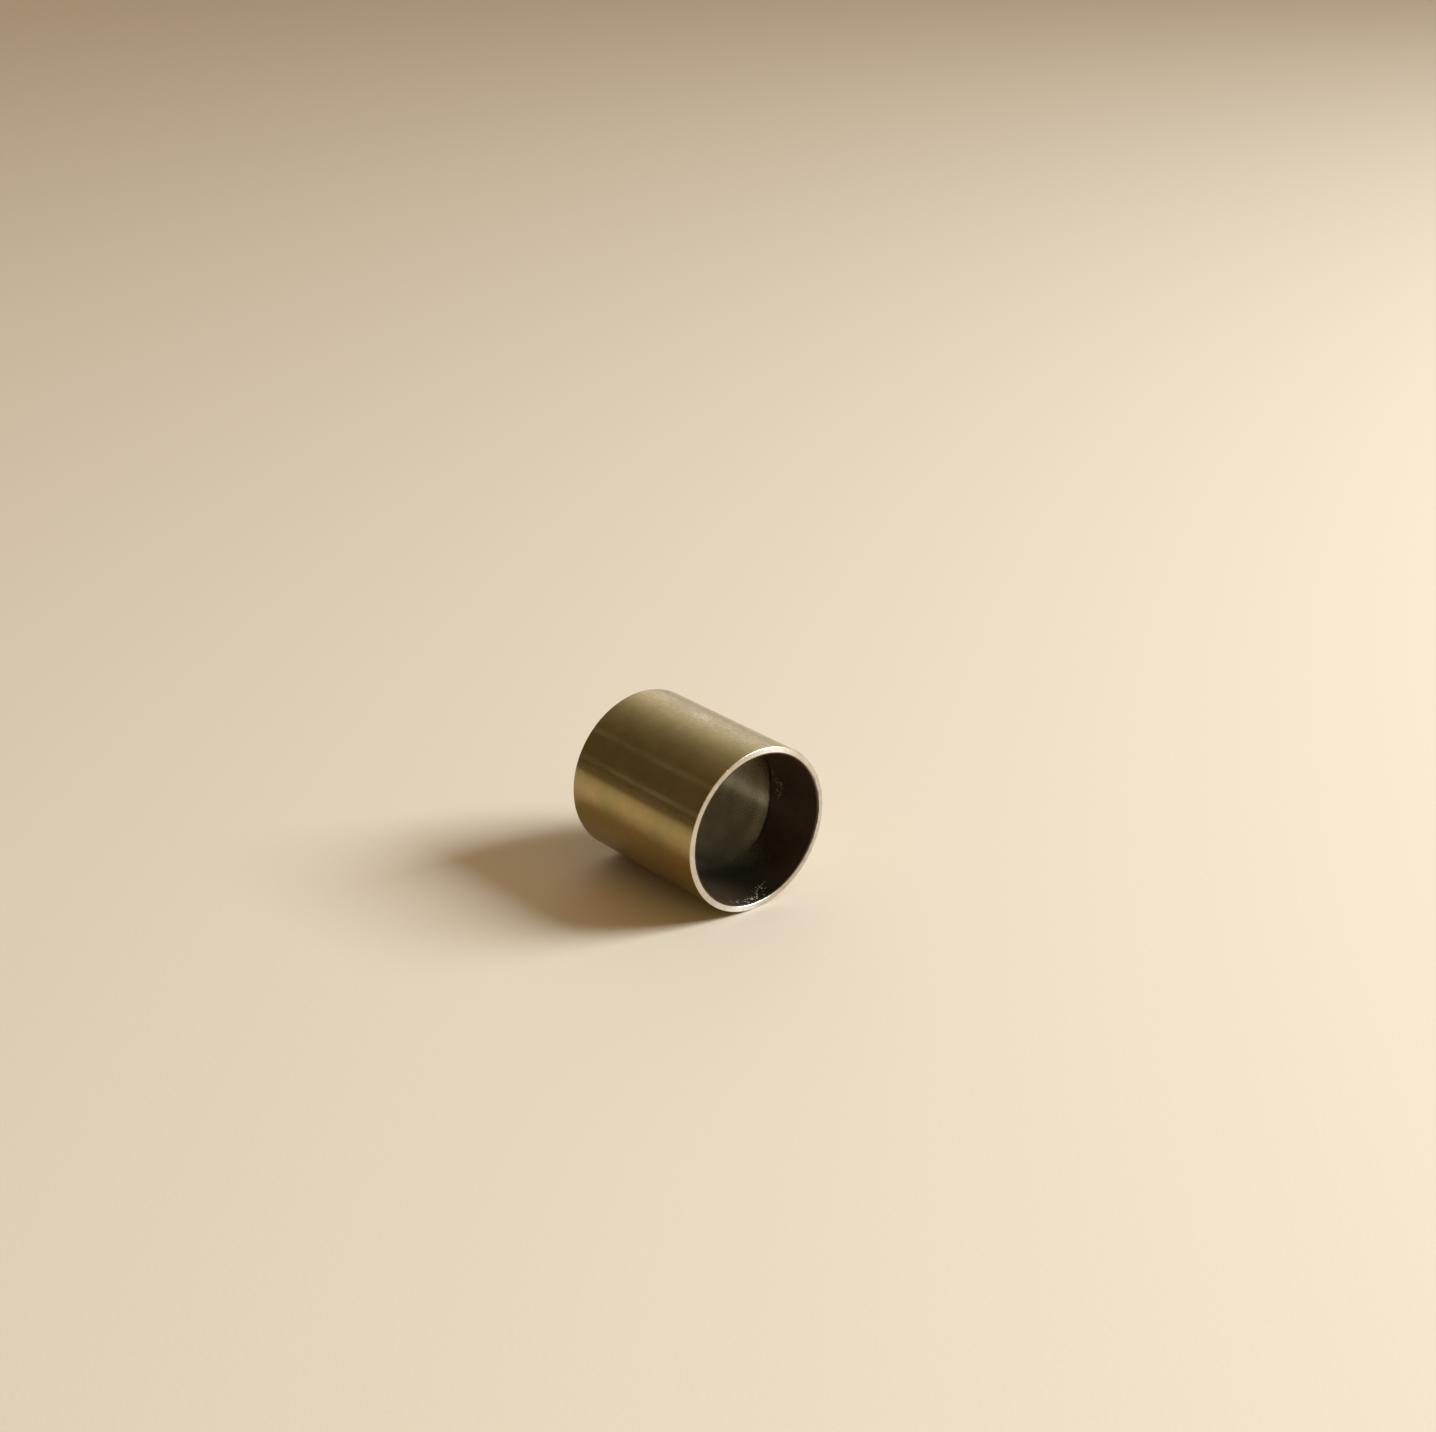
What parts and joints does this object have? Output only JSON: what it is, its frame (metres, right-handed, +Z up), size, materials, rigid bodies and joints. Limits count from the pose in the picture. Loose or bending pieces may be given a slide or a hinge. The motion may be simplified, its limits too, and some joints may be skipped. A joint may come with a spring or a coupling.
{
  "type": "guitar slide",
  "caption": "Short thin-walled metal guitar slide: an open-ended tube worn on one finger, with a thin blackened lining in its bore.",
  "frame": {"origin": "on the bore's axis, halfway along the slide", "axes": "+Y along the axis, from the mouth that is seen towards the far end; +Z up, with the slide lying on its side as on a table, its lowest line at z = -11.1 mm; +X to the right"},
  "size_m": [0.0222, 0.0238, 0.0222],
  "materials": {
    "tube_metal": "aged olive-gold brass, satin, with fine wear; the cut end faces are bare bright metal",
    "lining_black": "blackened metal: satin brown-black for about 9 mm from the front mouth, a smoother dim grey deeper in, chipped to bright flecks near the mouth"
  },
  "bodies": {
    "root": {"slide_tube": "tube_metal", "bore_lining": "lining_black"}
  },
  "joints": []
}
